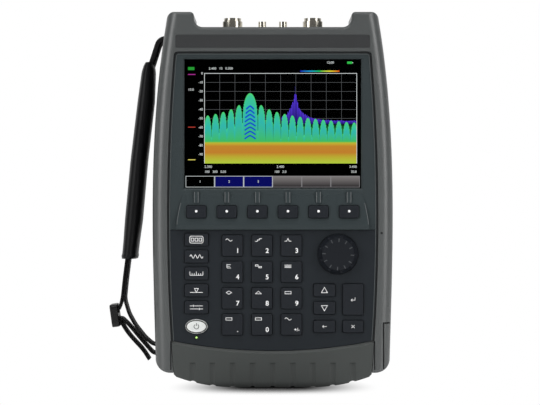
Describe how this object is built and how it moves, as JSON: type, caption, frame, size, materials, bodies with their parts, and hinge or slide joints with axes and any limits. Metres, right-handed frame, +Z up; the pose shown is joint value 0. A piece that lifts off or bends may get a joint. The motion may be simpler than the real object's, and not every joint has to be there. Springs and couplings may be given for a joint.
{
  "type": "handheld microwave analyzer",
  "caption": "Upright handheld radio test instrument with a display, softkeys, keypad, dial, top connectors, side hand strap, hinged port door, sliding battery door and rear tilt stand.",
  "frame": {"origin": "middle of the bumper's flat foot, on the standing surface", "axes": "+Z up, front faces -Y, +X to the viewer's right"},
  "size_m": [0.2249, 0.072, 0.2924],
  "materials": {
    "case_skin": "soft grey rubber skin over the plastic case",
    "door_rubber": "soft grey rubber",
    "bumper_rubber": "matte grey rubber",
    "panel_plastic": "fine matte texture",
    "keypad_plastic": "fine matte texture",
    "plate_plastic": "smooth, bare",
    "window_glass": "clear",
    "display_plastic": "lit display",
    "button_white": "smooth",
    "lamp_lens": "green lens",
    "circuit_board": "solder mask",
    "dome_metal": "plain",
    "knob_plastic": "fine matte texture",
    "key_rubber": "matte silicone",
    "steel": "plain",
    "screw_steel": "blackened",
    "dark_plastic": "plain",
    "shield_metal": "machined",
    "plate_metal": "anodised dark",
    "nickel": "nickel plated",
    "contact_gold": "gold plated",
    "socket_metal": "plated shell",
    "stand_plastic": "matte",
    "strap_webbing": "woven nylon",
    "strap_pad": "smooth padded sleeve"
  },
  "bodies": {
    "case": {"front_housing": "case_skin", "rear_housing": "case_skin", "bottom_bumper": "bumper_rubber", "display_bezel": "panel_plastic", "keypad_panel": "keypad_plastic", "nameplate": "plate_plastic", "display_window": "window_glass", "display_panel": "display_plastic", "power_lamp": "lamp_lens", "keypad_board": "circuit_board", "main_board": "circuit_board", "switch_domes": "dome_metal", "dial_encoder": "dark_plastic", "radio_module": "shield_metal", "battery_pack": "dark_plastic", "connector_plate": "plate_metal", "rf_port_shells": "nickel", "rf_port_contacts": "contact_gold", "trigger_ports": "nickel", "port_sockets": "socket_metal", "hinge_pins": "steel", "case_screws": "screw_steel", "strap_upper": "strap_webbing", "strap_lower": "strap_webbing", "strap_sleeve": "strap_pad", "strap_slider": "dark_plastic"},
    "softkey_1": {"softkey_1": "key_rubber"},
    "softkey_2": {"softkey_2": "key_rubber"},
    "softkey_3": {"softkey_3": "key_rubber"},
    "softkey_4": {"softkey_4": "key_rubber"},
    "softkey_5": {"softkey_5": "key_rubber"},
    "softkey_6": {"softkey_6": "key_rubber"},
    "mode_key": {"mode_key": "key_rubber"},
    "frequency_key": {"frequency_key": "key_rubber"},
    "scale_key": {"scale_key": "key_rubber"},
    "marker_key": {"marker_key": "key_rubber"},
    "tools_key": {"tools_key": "key_rubber"},
    "digit_0_key": {"digit_0_key": "key_rubber"},
    "digit_1_key": {"digit_1_key": "key_rubber"},
    "digit_2_key": {"digit_2_key": "key_rubber"},
    "digit_3_key": {"digit_3_key": "key_rubber"},
    "digit_4_key": {"digit_4_key": "key_rubber"},
    "digit_5_key": {"digit_5_key": "key_rubber"},
    "digit_6_key": {"digit_6_key": "key_rubber"},
    "digit_7_key": {"digit_7_key": "key_rubber"},
    "digit_8_key": {"digit_8_key": "key_rubber"},
    "digit_9_key": {"digit_9_key": "key_rubber"},
    "point_key": {"point_key": "key_rubber"},
    "sign_key": {"sign_key": "key_rubber"},
    "up_key": {"up_key": "key_rubber"},
    "down_key": {"down_key": "key_rubber"},
    "back_key": {"back_key": "key_rubber"},
    "enter_key": {"enter_key": "key_rubber"},
    "escape_key": {"escape_key": "key_rubber"},
    "power_button": {"power_button": "button_white"},
    "dial": {"dial_knob": "knob_plastic", "dial_shaft": "steel"},
    "battery_door": {"battery_door": "case_skin"},
    "port_door": {"port_door": "door_rubber"},
    "tilt_stand": {"tilt_stand": "stand_plastic"}
  },
  "joints": [
    {"name": "dial_turn", "type": "hinge", "parent": "case", "child": "dial", "pos_m": [0.0509, -0.03, 0.1035], "axis": [0, 1, 0], "continuous": true},
    {"name": "battery_door_slide", "type": "slide", "parent": "case", "child": "battery_door", "axis": [1, 0, 0], "range_m": [0, 0.03]},
    {"name": "port_door_hinge", "type": "hinge", "parent": "case", "child": "port_door", "pos_m": [0.09233, 0.0135, 0.114], "axis": [0, 1, 0], "range_deg": [0, 100]},
    {"name": "tilt_stand_hinge", "type": "hinge", "parent": "case", "child": "tilt_stand", "pos_m": [0, 0.033, 0.178], "axis": [1, 0, 0], "range_deg": [0, 50]},
    {"name": "softkey_1_press", "type": "slide", "parent": "case", "child": "softkey_1", "axis": [0, 1, 0], "range_m": [0, 0.0012], "stiffness_N_per_m": 900},
    {"name": "softkey_2_press", "type": "slide", "parent": "case", "child": "softkey_2", "axis": [0, 1, 0], "range_m": [0, 0.0012], "stiffness_N_per_m": 900},
    {"name": "softkey_3_press", "type": "slide", "parent": "case", "child": "softkey_3", "axis": [0, 1, 0], "range_m": [0, 0.0012], "stiffness_N_per_m": 900},
    {"name": "softkey_4_press", "type": "slide", "parent": "case", "child": "softkey_4", "axis": [0, 1, 0], "range_m": [0, 0.0012], "stiffness_N_per_m": 900},
    {"name": "softkey_5_press", "type": "slide", "parent": "case", "child": "softkey_5", "axis": [0, 1, 0], "range_m": [0, 0.0012], "stiffness_N_per_m": 900},
    {"name": "softkey_6_press", "type": "slide", "parent": "case", "child": "softkey_6", "axis": [0, 1, 0], "range_m": [0, 0.0012], "stiffness_N_per_m": 900},
    {"name": "mode_key_press", "type": "slide", "parent": "case", "child": "mode_key", "axis": [0, 1, 0], "range_m": [0, 0.0012], "stiffness_N_per_m": 900},
    {"name": "frequency_key_press", "type": "slide", "parent": "case", "child": "frequency_key", "axis": [0, 1, 0], "range_m": [0, 0.0012], "stiffness_N_per_m": 900},
    {"name": "scale_key_press", "type": "slide", "parent": "case", "child": "scale_key", "axis": [0, 1, 0], "range_m": [0, 0.0012], "stiffness_N_per_m": 900},
    {"name": "marker_key_press", "type": "slide", "parent": "case", "child": "marker_key", "axis": [0, 1, 0], "range_m": [0, 0.0012], "stiffness_N_per_m": 900},
    {"name": "tools_key_press", "type": "slide", "parent": "case", "child": "tools_key", "axis": [0, 1, 0], "range_m": [0, 0.0012], "stiffness_N_per_m": 900},
    {"name": "digit_0_key_press", "type": "slide", "parent": "case", "child": "digit_0_key", "axis": [0, 1, 0], "range_m": [0, 0.0012], "stiffness_N_per_m": 900},
    {"name": "digit_1_key_press", "type": "slide", "parent": "case", "child": "digit_1_key", "axis": [0, 1, 0], "range_m": [0, 0.0012], "stiffness_N_per_m": 900},
    {"name": "digit_2_key_press", "type": "slide", "parent": "case", "child": "digit_2_key", "axis": [0, 1, 0], "range_m": [0, 0.0012], "stiffness_N_per_m": 900},
    {"name": "digit_3_key_press", "type": "slide", "parent": "case", "child": "digit_3_key", "axis": [0, 1, 0], "range_m": [0, 0.0012], "stiffness_N_per_m": 900},
    {"name": "digit_4_key_press", "type": "slide", "parent": "case", "child": "digit_4_key", "axis": [0, 1, 0], "range_m": [0, 0.0012], "stiffness_N_per_m": 900},
    {"name": "digit_5_key_press", "type": "slide", "parent": "case", "child": "digit_5_key", "axis": [0, 1, 0], "range_m": [0, 0.0012], "stiffness_N_per_m": 900},
    {"name": "digit_6_key_press", "type": "slide", "parent": "case", "child": "digit_6_key", "axis": [0, 1, 0], "range_m": [0, 0.0012], "stiffness_N_per_m": 900},
    {"name": "digit_7_key_press", "type": "slide", "parent": "case", "child": "digit_7_key", "axis": [0, 1, 0], "range_m": [0, 0.0012], "stiffness_N_per_m": 900},
    {"name": "digit_8_key_press", "type": "slide", "parent": "case", "child": "digit_8_key", "axis": [0, 1, 0], "range_m": [0, 0.0012], "stiffness_N_per_m": 900},
    {"name": "digit_9_key_press", "type": "slide", "parent": "case", "child": "digit_9_key", "axis": [0, 1, 0], "range_m": [0, 0.0012], "stiffness_N_per_m": 900},
    {"name": "point_key_press", "type": "slide", "parent": "case", "child": "point_key", "axis": [0, 1, 0], "range_m": [0, 0.0012], "stiffness_N_per_m": 900},
    {"name": "sign_key_press", "type": "slide", "parent": "case", "child": "sign_key", "axis": [0, 1, 0], "range_m": [0, 0.0012], "stiffness_N_per_m": 900},
    {"name": "up_key_press", "type": "slide", "parent": "case", "child": "up_key", "axis": [0, 1, 0], "range_m": [0, 0.0012], "stiffness_N_per_m": 900},
    {"name": "down_key_press", "type": "slide", "parent": "case", "child": "down_key", "axis": [0, 1, 0], "range_m": [0, 0.0012], "stiffness_N_per_m": 900},
    {"name": "back_key_press", "type": "slide", "parent": "case", "child": "back_key", "axis": [0, 1, 0], "range_m": [0, 0.0012], "stiffness_N_per_m": 900},
    {"name": "enter_key_press", "type": "slide", "parent": "case", "child": "enter_key", "axis": [0, 1, 0], "range_m": [0, 0.0012], "stiffness_N_per_m": 900},
    {"name": "escape_key_press", "type": "slide", "parent": "case", "child": "escape_key", "axis": [0, 1, 0], "range_m": [0, 0.0012], "stiffness_N_per_m": 900},
    {"name": "power_button_press", "type": "slide", "parent": "case", "child": "power_button", "axis": [0, 1, 0], "range_m": [0, 0.0012], "stiffness_N_per_m": 900}
  ]
}
